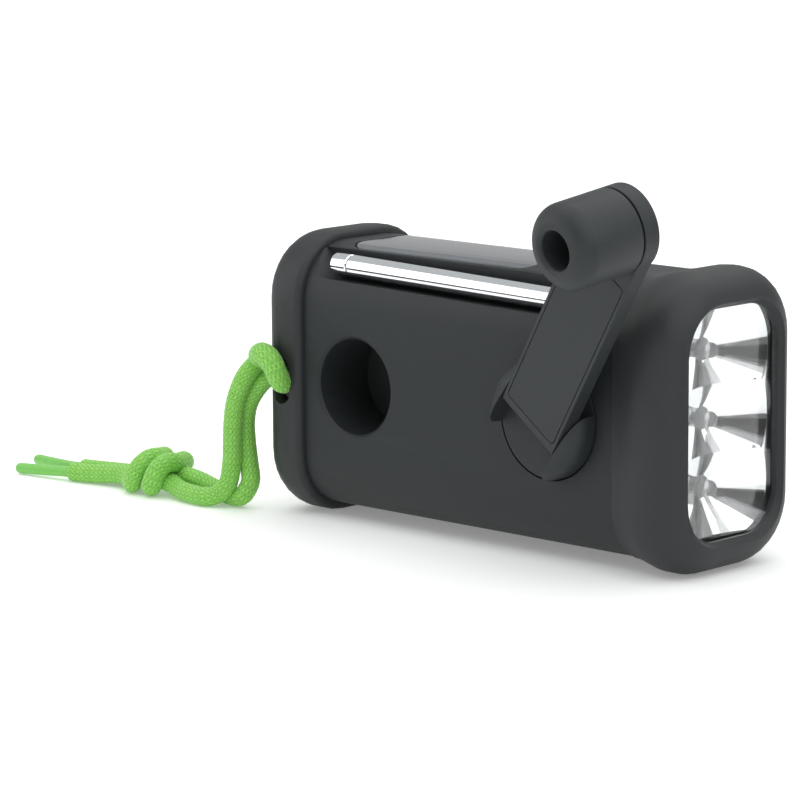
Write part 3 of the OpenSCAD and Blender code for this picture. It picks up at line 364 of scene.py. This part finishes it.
def smooth_route(points, step):
    """Evenly spaced points on a smooth curve through given ones."""
    stops = [Vector(p) * MM for p in points]
    stops = [2 * stops[0] - stops[1]] + stops + [2 * stops[-1] - stops[-2]]
    dense = []
    for a, b, c, d in zip(stops, stops[1:], stops[2:], stops[3:]):
        for i in range(CURVE_STEPS):
            t = i / CURVE_STEPS
            dense.append(0.5 * (2 * b + (c - a) * t + (2 * a - 5 * b + 4 * c - d) * t ** 2
                                + (3 * b - a - 3 * c + d) * t ** 3))
    dense.append(stops[-2])
    route, left = [dense[0]], step
    for a, b in zip(dense, dense[1:]):
        length = (b - a).length
        while left <= length:
            route.append(a.lerp(b, left / length))
            left += step
        left -= length
    return route


def route_length(route):
    return sum((b - a).length for a, b in zip(route, route[1:]))


hitch_route = smooth_route(HITCH, LACE_STEP)
front_route = smooth_route(FRONT_LACE, LACE_STEP)
back_route = smooth_route(BACK_LACE, LACE_STEP)
print("laces:", [round(route_length(r) / MM) for r in (hitch_route, front_route, back_route)], "mm")

# %% [markdown]
# The braid has two sets of strands that wind opposite ways and pass over and under each other. From the
# hollows to the strands that pass over, the surface rises by about a sixth of a millimetre. The height is
# kept as an attribute of the mesh, so that shade can be painted into the colour of the hollows between
# strands.

# %% Sweep a lace
BRAID_SIDES = 56
BRAID_STRANDS = 14
BRAID_PITCH = 1.3 * MM
BRAID_RELIEF = 0.16 * MM
BRAID_MEAN = 0.6
CREST_POWER = 0.7
UNDER_HEIGHT = 0.8
PLAIN_HEIGHT = 0.5


def braid_height(turn, along):
    """Height of the braid from 0 to 1: diamonds between two families of crossing strands."""
    a = math.sin(BRAID_STRANDS / 2 * turn + math.pi * along / BRAID_PITCH)
    b = math.sin(BRAID_STRANDS / 2 * turn - math.pi * along / BRAID_PITCH)
    high = max(abs(a), abs(b))
    return high ** CREST_POWER if a * b > 0 else UNDER_HEIGHT * high


def sweep(route, radii, sides, height=None):
    """A closed tube along a route, with a radius for each point and a relief if it is braided."""
    bm = bmesh.new()
    layer = bm.verts.layers.float.new("braid")
    rings, along = [], 0.0
    side = Vector((0, 0, 1))
    for i, point in enumerate(route):
        ahead = route[min(i + 1, len(route) - 1)] - route[max(i - 1, 0)]
        ahead.normalize()
        side = (side - ahead * side.dot(ahead)).normalized()
        across = ahead.cross(side)
        along += (point - route[i - 1]).length if i else 0
        ring = []
        for k in range(sides):
            turn = 2 * math.pi * k / sides
            h = height(turn, along) if height else PLAIN_HEIGHT
            reach = radii[i] + (BRAID_RELIEF * (h - BRAID_MEAN) if height else 0)
            vert = bm.verts.new(point + reach * (math.cos(turn) * side + math.sin(turn) * across))
            vert[layer] = h
            ring.append(vert)
        rings.append(ring)
    for low, high in zip(rings, rings[1:]):
        for k in range(sides):
            bm.faces.new((low[k], low[(k + 1) % sides], high[(k + 1) % sides], high[k]))
    bm.faces.new(reversed(rings[0]))
    bm.faces.new(rings[-1])
    return bm


print("braid of", BRAID_STRANDS, "strands,", round(BRAID_RELIEF / MM, 2), "mm of relief")

# %% [markdown]
# A shape that is finished becomes an object of the scene. A piece of the radio gets its material, smooth
# shading that stops at real edges, the body that carries it and the nodes that it stands for.

# %% Keep a piece
EDGE_ANGLE = math.radians(28)


def linked(name, bm):
    """Turns a finished bmesh into an object of the scene."""
    mesh = bpy.data.meshes.new(name)
    bm.to_mesh(mesh)
    bm.free()
    piece = bpy.data.objects.new(name, mesh)
    bpy.context.scene.collection.objects.link(piece)
    return piece


def keep(name, bm, material, body, *replaced, slot=None):
    """Turns a finished bmesh into a piece that rides on a body and stands for some nodes."""
    piece = linked(name, bm)
    piece.data.materials.append(material)
    piece.data.shade_smooth()
    piece.data.set_sharp_from_angle(angle=EDGE_ANGLE)
    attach(piece, body)
    if replaced:
        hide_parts(*replaced)
    return piece


print("edges over", round(math.degrees(EDGE_ANGLE)), "degrees stay sharp")

# %% [markdown]
# Polyester lace is bright and a little silky. The strands are a light yellow-green, and painted shade turns
# the colour to a deep green in the hollows between them, with a soft sheen at the edges. The lace spreads a
# little where the knot and the hitch press it.

# %% Lace material and pieces
FIBRE_MM = 0.25
FIBRE_STRENGTH = 0.3
FIBRE_STEP_MM = 0.05
RAMP_LIFT = 0.12
RAMP_ENDS = (0.25, 0.65)
TIP_SIDES = 24
TIP_ROUND_FROM, TIP_ROUND = 0.97, 0.86
KNOT_PRESS = (-86.5, 5, 0.12)
HITCH_PRESS = (-51, 3, 0.2)


def lace_material(name, low, high, roughness):
    """A braid with shade painted into its hollows by its own height, and broken up by fibres."""
    material, tree, shader = blank(name)
    height = add(tree, "ShaderNodeAttribute", attribute_name="braid").outputs["Fac"]
    fibre = noise(tree, object_place(tree), FIBRE_MM, 2.0)
    mixed = add(tree, "ShaderNodeMath", {0: height, 1: fibre}, operation="MULTIPLY_ADD")
    mixed.inputs[2].default_value = RAMP_LIFT
    # Painted shade: the ramp darkens the colour where the braid is low, in the hollows between strands.
    painted_shade_ramp = add(tree, "ShaderNodeValToRGB", {"Fac": mixed.outputs["Value"]})
    for element, colour, position in zip(painted_shade_ramp.color_ramp.elements, (low, high), RAMP_ENDS):
        element.color = linear(colour)
        element.position = position
    tree.links.new(painted_shade_ramp.outputs["Color"], shader.inputs["Base Color"])
    relief(tree, shader, fibre, FIBRE_STRENGTH, FIBRE_STEP_MM)
    settle(shader, Roughness=roughness, Sheen_Weight=0.25, Sheen_Roughness=0.4)
    return material


# The deep green of the lace is painted shade for the hollows between strands.
lace = lace_material("braided_polyester", "#4da332", "#9ad85f", 0.62)
sealed = lace_material("heat_sealed_polyester", "#69bb49", "#92d76b", 0.45)


def lace_radius(point):
    """Radius of the lace, with the spread that each press at a place along X gives it."""
    spread = sum(more * math.exp(-((point.x / MM - x) / reach) ** 2)
                 for x, reach, more in (KNOT_PRESS, HITCH_PRESS))
    return CORD_D / 2 * MM * (1 + spread)


def braided(route):
    return sweep(route, [lace_radius(point) for point in route], BRAID_SIDES, braid_height)


def sealed_tip(points):
    """A hard tip without relief, a little thinner at its very end."""
    route = smooth_route(points, TIP_STEP)
    last = len(route) - 1
    radii = [TIP_D / 2 * MM * (1 if i / last < TIP_ROUND_FROM else TIP_ROUND) for i in range(len(route))]
    return sweep(route, radii, TIP_SIDES)


def lace_piece(name, route, tip_points, *replaced, joined=()):
    tip = keep(name + "_tip", sealed_tip(tip_points), sealed, "root", slot="cord")
    piece = keep(name, braided(route), lace, "root", *replaced, slot="cord")


hitch = keep("hitch_loop", braided(hitch_route), lace, "root", "lanyard_hitch", slot="cord")
lace_piece("front_lace", front_route, FRONT_TIP, "lanyard_strands", joined=[hitch])
lace_piece("back_lace", back_route, BACK_TIP, "lanyard_knot", "lanyard_tails")
print("a hitch and two laces with sealed tips")

# %% [markdown]
# ## The housing
#
# The two shells and the two bumpers are moulded, so every edge of theirs has a small radius. The solids
# have the right form but knife edges. A copy of such a solid is merged, its flat triangles are joined into
# faces, and a narrow bevel rounds what is sharp, so that light catches the edges.

# %% Round the edges of a solid
SAME_POINT = 0.002 * MM
FLAT_ANGLE = math.radians(0.6)


def softened(node, material, width_mm, slot, segments=2, name=None):
    """A copy of a solid with merged faces and rounded edges, which stands for it."""
    source = frame["nodes"][node]
    bm = bmesh.new()
    bm.from_mesh(source.data)
    bmesh.ops.remove_doubles(bm, verts=bm.verts, dist=SAME_POINT)
    bmesh.ops.dissolve_limit(bm, angle_limit=FLAT_ANGLE, verts=bm.verts, edges=bm.edges)
    piece = keep(name or node + "_moulding", bm, material, source["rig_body"], node, slot=slot)
    bevel = piece.modifiers.new("edge", "BEVEL")
    bevel.width = width_mm * MM
    bevel.segments = segments
    bevel.limit_method = "ANGLE"
    bevel.angle_limit = EDGE_ANGLE
    bevel.use_clamp_overlap = True
    bevel.harden_normals = True
    bevel.miter_outer = "MITER_ARC"


for node, material, width in (("front_shell", housing_paint, 0.25), ("back_shell", housing_paint, 0.2),
                              ("left_bumper", bumper_rubber, 0.2), ("right_bumper", bumper_rubber, 0.25)):
    softened(node, material, width, "housing")
print("housing softened")

# %% [markdown]
# ## Turned pieces
#
# Knob, lamps, bowls and antenna are round. Cylinders and spheres could be stacked for them, but those
# would leave seams inside. Each is a half section here that is spun about an axis into one closed form.

# %% Turn a profile
SPUN_POINT = 0.001 * MM


def turned(profile, steps=64):
    """Spins a half section, given as radius and height in millimetres, round the Z axis."""
    bm = bmesh.new()
    verts = [bm.verts.new((r * MM, 0, z * MM)) for r, z in profile]
    edges = [bm.edges.new(pair) for pair in zip(verts, verts[1:])]
    bmesh.ops.spin(bm, geom=verts + edges, cent=(0, 0, 0), axis=(0, 0, 1), angle=2 * math.pi,
                   steps=steps, use_merge=True)
    bmesh.ops.remove_doubles(bm, verts=bm.verts, dist=SPUN_POINT)
    bmesh.ops.recalc_face_normals(bm, faces=bm.faces)
    return bm


def arc(r, z, radius, start, end, steps=8):
    """Points of a round edge about a centre, angles in degrees."""
    angles = [math.radians(start + (end - start) * i / steps) for i in range(steps + 1)]
    return [(r + radius * math.cos(a), z + radius * math.sin(a)) for a in angles]


def placed(bm, matrix):
    bmesh.ops.transform(bm, matrix=matrix, verts=bm.verts)
    return bm


print("a quarter edge has", len(arc(0, 0, 1, 0, 90)), "points")

# %% [markdown]
# ## The lamp end
#
# Behind the clear window sits one moulding, metallised like a mirror, with three bowls. Each bowl widens
# nearly like a cone, which throws a broad beam. The bowls are wider than the lamps are apart, so they run
# into each other and meet in ridges. Bridged rings would have to guess those ridges. Here the bowls are
# turned and cut out of a block, as the mould maker cuts them, and the ridges come by themselves.

# %% Reflector
LAMP_PITCH = 13.8 * MM
LENS_LIP = 1.0 * MM
RIM_GAP = 0.05 * MM
BLOCK_FLOOR = 0.8
BOWL_FLOOR = 2.3
BOWL_POWER = 1.12
BOWL_STEPS = 24
BOWL_SIDES = 96
CUT_BELOW, CUT_ABOVE = 3, 2
SLIVER = 0.01 * MM

window_low, window_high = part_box("lamp_lens")
reflector_low, reflector_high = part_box("reflector")
mid_z = (reflector_low.z + reflector_high.z) / 2
bowl_rim = (window_high.y - window_low.y) / 2 - LENS_LIP
block_half = (window_high.z - window_low.z) / 2 - LENS_LIP
rim_x = reflector_high.x - RIM_GAP
bowl_depth = (rim_x - reflector_low.x) / MM - BLOCK_FLOOR
along_x = Matrix.Rotation(math.radians(90), 4, "Y")


def at_lamp(k, x):
    """The place of the lamp number -1, 0 or 1 at a depth x, with its axis along X."""
    return Matrix.Translation((x, 0, mid_z + k * LAMP_PITCH)) @ along_x


def bowl_profile():
    """A bowl from the lamp hole to the rim, a little steeper at the rim, closed beyond both ends."""
    rim = bowl_rim / MM
    radii = [BOWL_FLOOR + (rim - BOWL_FLOOR) * i / BOWL_STEPS for i in range(BOWL_STEPS + 1)]
    wall = [(r, bowl_depth * ((r - BOWL_FLOOR) / (rim - BOWL_FLOOR)) ** BOWL_POWER) for r in radii]
    hole = [(0, -CUT_BELOW), (BOWL_FLOOR, -CUT_BELOW)]
    return hole + wall + [(rim, bowl_depth + CUT_ABOVE), (0, bowl_depth + CUT_ABOVE)]


cube = bmesh.new()
bmesh.ops.create_cube(cube, size=1)
middle = Vector(((reflector_low.x + rim_x) / 2, 0, mid_z))
block_size = (rim_x - reflector_low.x, 2 * (bowl_rim + LENS_LIP), 2 * block_half, 1)
block = linked("reflector_block", placed(cube, Matrix.Translation(middle) @ Matrix.Diagonal(block_size)))
cutters = []
for k in (-1, 0, 1):
    bowl = placed(turned(bowl_profile(), BOWL_SIDES), at_lamp(k, rim_x - bowl_depth * MM))
    cutters.append(linked("bowl_cutter", bowl))
    carve = block.modifiers.new("bowl", "BOOLEAN")
    carve.operation = "DIFFERENCE"
    carve.solver = "EXACT"
    carve.object = cutters[-1]
carved = bmesh.new()
carved.from_object(block, bpy.context.evaluated_depsgraph_get())
bmesh.ops.remove_doubles(carved, verts=carved.verts, dist=SLIVER)
bmesh.ops.dissolve_degenerate(carved, edges=carved.edges, dist=SLIVER)
for used in [block] + cutters:
    mesh = used.data
    bpy.data.objects.remove(used)
    bpy.data.meshes.remove(mesh)
print("three bowls", round(bowl_depth, 1), "mm deep,", len(carved.faces), "faces")
keep("lamp_reflector", carved, mirror_film, "root", "reflector", slot="reflector")

# %% [markdown]
# Each lamp is a dome of cast epoxy on a collar, with a narrow neck between them. A ball on a cylinder
# would show a seam in clear plastic, so the whole outline is one half section. The window in front is the
# solid itself with its edges rounded.

# %% Lamps and window
LAMP_R = 1.6
LAMP_SIDES = 40
COLLAR_R, COLLAR_T, COLLAR_EDGE = 2.2, 2.0, 0.2
NECK_R, NECK_TOP, DOME_FOOT = LAMP_R - 0.15, COLLAR_T + 0.3, COLLAR_T + 0.5

lamps_low, lamps_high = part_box("lamps")
lamp_len = (lamps_high.x - lamps_low.x) / MM
lamp_profile = [(0, 0), (COLLAR_R, 0), (COLLAR_R, COLLAR_T - COLLAR_EDGE)]
lamp_profile += [(COLLAR_R - COLLAR_EDGE, COLLAR_T)]
lamp_profile += [(NECK_R, COLLAR_T), (NECK_R, NECK_TOP), (LAMP_R, DOME_FOOT)]
lamp_profile += arc(0, lamp_len - LAMP_R, LAMP_R, 0, 90)
lamp_set = bmesh.new()
for k in (-1, 0, 1):
    one = placed(turned(lamp_profile, LAMP_SIDES), at_lamp(k, lamps_low.x))
    mesh = bpy.data.meshes.new("one_lamp")
    one.to_mesh(mesh)
    one.free()
    lamp_set.from_mesh(mesh)
    bpy.data.meshes.remove(mesh)
keep("lamp_bulbs", lamp_set, lamp_epoxy, "root", "lamps", slot="lens")
softened("lamp_lens", window_plastic, 0.15, "lens", name="lamp_window")
print("three lamps of", round(lamp_len, 1), "mm behind a window")

# %% [markdown]
# ## The crank
#
# The hub turns in the front face and carries two ears. The arm folds on a pin between them, and at its
# end a knob spins on a screw. The knob is a turned form, so its half section is spun: straight sides, a
# round front edge, and a hole with a soft rim that shows the screw.

# %% Crank
KNOB_R, KNOB_EDGE, KNOB_HOLE, HOLE_RIM = 8.5, 4.0, 3.8, 0.9
KNOB_BASE, KNOB_TOP, KNOB_FLOOR = 2.1, 17.3, 3.0
KNOB_BORE, KNOB_FOOT = 1.6, 0.4
KNOB_SIDES = 96

hinge = Vector(joints["crank_fold"]["pos_m"])
knob_at = Vector(joints["knob_spin"]["pos_m"])
outward = Vector(joints["knob_spin"]["axis"]).normalized()
along_arm = (knob_at - hinge).normalized()
arm_frame = Matrix((along_arm, outward.cross(along_arm), outward)).transposed().to_4x4()
knob_frame = Matrix.Translation(knob_at) @ arm_frame
hole_floor = KNOB_BASE + KNOB_FLOOR
knob_profile = [(KNOB_BORE, KNOB_BASE), (KNOB_R - KNOB_FOOT, KNOB_BASE)]
knob_profile += arc(KNOB_R - KNOB_FOOT, KNOB_BASE + KNOB_FOOT, KNOB_FOOT, -90, 0, 4)
knob_profile += arc(KNOB_R - KNOB_EDGE, KNOB_TOP - KNOB_EDGE, KNOB_EDGE, 0, 90, 12)
knob_profile += arc(KNOB_HOLE + HOLE_RIM, KNOB_TOP - HOLE_RIM, HOLE_RIM, 90, 180, 6)
knob_profile += [(KNOB_HOLE, hole_floor), (KNOB_BORE, hole_floor), (KNOB_BORE, KNOB_BASE)]
keep("turning_knob", placed(turned(knob_profile, KNOB_SIDES), knob_frame), crank_paint, "knob",
     "crank_knob", slot="housing")
softened("crank_arm", crank_paint, 0.45, "housing", segments=3)
softened("arm_plate", crank_paint, 0.15, "housing")
softened("crank_hub", crank_paint, 0.3, "housing", segments=3)
softened("knob_screw", steel, 0.1, "steel")
print("crank arm of", round((knob_at - hinge).length / MM, 1), "mm")

# %% [markdown]
# ## The antenna
#
# Four sections slide inside each other, and the closed antenna shows the widest one and the cap on the
# thinnest. Both are turned, with a fine groove where they meet. One long rod would look the same when it
# is closed, but each piece here rides on its own section, so the antenna can be drawn out.

# %% Antenna
TUBE_R, TUBE_STEP, TUBE_START, TUBE_END, CAP_END = 2.4, 0.5, 5.4, 67.4, 72.0
TUBE_GAP = 0.05
TUBE_SIDES = 48
LIP = 0.4
MOUTH, MOUTH_EDGE, FOOT_EDGE = 0.2, 0.15, 0.3
CAP_EDGE, CAP_ROUND = 0.2, 0.6

elbow = Vector(joints["antenna_lift"]["pos_m"])
drawn = Vector(joints["antenna_slide_2"]["axis"]).normalized()
antenna_frame = Matrix.Translation(elbow) @ drawn.to_track_quat("Z", "Y").to_matrix().to_4x4()


def tube_profile(k):
    """Half section of the tube number k: a bore with an eased mouth, and a closed foot."""
    r = TUBE_R - k * TUBE_STEP
    bore = TUBE_R - (k + 1) * TUBE_STEP + TUBE_GAP
    low = TUBE_START + k * LIP
    high = TUBE_END - LIP
    inside = [(bore, low + LIP), (bore, high - MOUTH), (bore + MOUTH_EDGE, high)]
    outside = [(r - MOUTH_EDGE, high), (r, high - MOUTH_EDGE), (r, low + FOOT_EDGE), (r - FOOT_EDGE, low)]
    return inside + outside + [(0, low), (0, low + LIP), (bore, low + LIP)]


for k, body in enumerate(("antenna", "antenna_section_2", "antenna_section_3")):
    keep(f"antenna_section_{k + 1}_tube", placed(turned(tube_profile(k), TUBE_SIDES), antenna_frame), chrome,
         body, f"antenna_tube_{k + 1}", slot="antenna")
cap_profile = [(0, TUBE_END), (TUBE_R - CAP_EDGE, TUBE_END), (TUBE_R, TUBE_END + CAP_EDGE)]
cap_profile += [(TUBE_R, CAP_END - CAP_ROUND)]
cap_profile += arc(TUBE_R - CAP_ROUND, CAP_END - CAP_ROUND, CAP_ROUND, 0, 90, 5) + [(0, CAP_END)]
keep("antenna_cap", placed(turned(cap_profile, TUBE_SIDES), antenna_frame), chrome, "antenna_section_4",
     "antenna_tip", slot="antenna")
for node in ("antenna_stud", "antenna_knuckle", "antenna_pin"):
    softened(node, chrome, 0.12, "antenna")
print("antenna of", CAP_END, "mm, closed")

# %% [markdown]
# ## The solar panel
#
# A cell lies in a bed in the top, under a clear cover with rounded corners that is nearly flush. Both are
# flat plates, so the solids serve, with their edges rounded.

# %% Solar panel
softened("solar_cover", panel_cover, 0.25, "solar_cover", segments=3)
softened("solar_cell", cell_silicon, 0.05, "solar_cell")
print("solar panel laid in")

# %% [markdown]
# ## The back, and what is inside
#
# The back has a grille over the speaker, two finger dials, a slider, a button and four screws. What is
# inside is hidden when the case is closed, but each piece still has the finish of its own material.

# %% Back and inside
for node, material, width, slot in (("tuning_dial", control_plastic, 0.15, "controls"),
                                    ("volume_dial", control_plastic, 0.08, "controls"),
                                    ("band_slider", black_plastic, 0.2, "black_plastic"),
                                    ("lamp_button", control_plastic, 0.2, "controls"),
                                    ("case_screws", steel, 0.1, "steel")):
    softened(node, material, width, slot)
INSIDE = {
    board_mask: ("main_board", "lamp_board"),
    black_plastic: ("lamp_switch", "speaker_frame", "ferrite_rod"),
    cone_paper: ("speaker_cone",),
    steel: ("crank_hinge_pin", "shaft_clip", "gear_axle", "gear_plate", "plate_screws", "board_screws",
            "generator", "speaker_magnet", "band_switch", "volume_pot"),
    brass: ("hub_bush", "generator_pinion"),
    gear_plastic: ("drive_gear", "compound_gear", "tuning_capacitor"),
    wrap_film: ("battery_pack",),
    copper: ("rod_coil",),
    chrome: ("antenna_rod",),
}
for material, nodes in INSIDE.items():
    for node in nodes:
        mesh = frame["nodes"][node].data
        mesh.materials.clear()
        mesh.materials.append(material)
print("inside pieces finished:", sum(len(nodes) for nodes in INSIDE.values()))

# %% [markdown]
# ## Floor and light
#
# The photograph was taken on a white table under a large soft light, with white all round. The table is
# lit from below a little, as acrylic tables for such pictures are, so only a narrow shadow is left.

# %% Floor and room
TABLE_HALF = 6
TABLE_GLOW = 0.22
ROOM_LIGHT = 0.5


def sheet(name, half_x, half_y, material, matrix):
    """A flat rectangle that belongs to the studio and not to the radio."""
    bm = bmesh.new()
    bmesh.ops.create_grid(bm, x_segments=1, y_segments=1, size=1)
    piece = linked(name, placed(bm, matrix @ Matrix.Diagonal((half_x, half_y, 1, 1))))
    piece.data.materials.append(material)
    return piece


table_white, _, table_shader = blank("white_table")
settle(table_shader, Base_Color=linear("#f4f5f5"), Roughness=0.6, Emission_Color=linear("#ffffff"),
       Emission_Strength=TABLE_GLOW)
sheet("floor", TABLE_HALF, TABLE_HALF, table_white, Matrix())

world = bpy.data.worlds.new("white_room")
bpy.context.scene.world = world
world.use_nodes = True
settle(world.node_tree.nodes["Background"], Color=(1, 1, 1, 1), Strength=ROOM_LIGHT)
print("white table of", 2 * TABLE_HALF, "m in a white room")

# %% [markdown]
# The dark wedges in the mirrors of the torch are the dim room beyond the table and a dim corner behind the
# radio, with a bright strip between them. The bright band along the antenna is a white screen at the left,
# between a greyer ceiling and the dark edge of the table. Cards stand in for all of these. Only mirrored
# light sees them, as it would if they stood far off, so they neither shade nor show.

# %% Cards and light
LIGHT_AT = Vector((-0.4, 0.5, 2.2))
LIGHT_AIM = Vector((-0.4, 0.5, 0))
LIGHT_SIZE = 5
LIGHT_POWER = 98
TORCH = (57, 0, 31)
CARDS = (
    # name, colour, glow, place, what it faces, half width and half height; lengths in millimetres
    ("dim_room", "#101111", 0, (228, -28, 31), TORCH, 90, 31),
    ("dim_corner", "#101111", 0, (139, 189, 92), TORCH, 62, 32),
    ("bright_corner", "#ffffff", 0.8, (189, 146, 64), TORCH, 26, 30),
    ("white_screen", "#ffffff", 0.7, (-340, -380, 230), (-15, -20, 230), 300, 230),
    ("right_screen", "#ffffff", 0.8, (380, -60, 330), (57, 0, 30), 340, 260),
    ("grey_ceiling", "#9c9e9f", 0.4, (-280, 70, 336), (-15, -20, 52), 260, 120),
    ("table_edge", "#1c1d1d", 0.1, (-117, -130, 14), (-15, -20, 14), 160, 14),
)


def card(name, colour, glow, place, target, half_x, half_y):
    """A sheet that only mirrored light sees."""
    material, _, shader = blank(name)
    settle(shader, Base_Color=linear(colour), Roughness=0.9, Emission_Color=linear(colour),
           Emission_Strength=glow)
    place, target = Vector(place) * MM, Vector(target) * MM
    facing = (target - place).to_track_quat("Z", "Y").to_matrix().to_4x4()
    piece = sheet(name, half_x * MM, half_y * MM, material, Matrix.Translation(place) @ facing)
    piece.visible_camera = piece.visible_diffuse = piece.visible_shadow = False


for row in CARDS:
    card(*row)

softbox = bpy.data.lights.new("overhead", "AREA")
softbox.shape = "RECTANGLE"
softbox.size = softbox.size_y = LIGHT_SIZE
softbox.energy = LIGHT_POWER
overhead = bpy.data.objects.new("overhead", softbox)
overhead.location = LIGHT_AT
overhead.rotation_euler = (LIGHT_AIM - LIGHT_AT).to_track_quat("-Z", "Y").to_euler()
bpy.context.scene.collection.objects.link(overhead)
bpy.context.scene.view_settings.view_transform = "Standard"
print(len(CARDS), "cards and one softbox set")
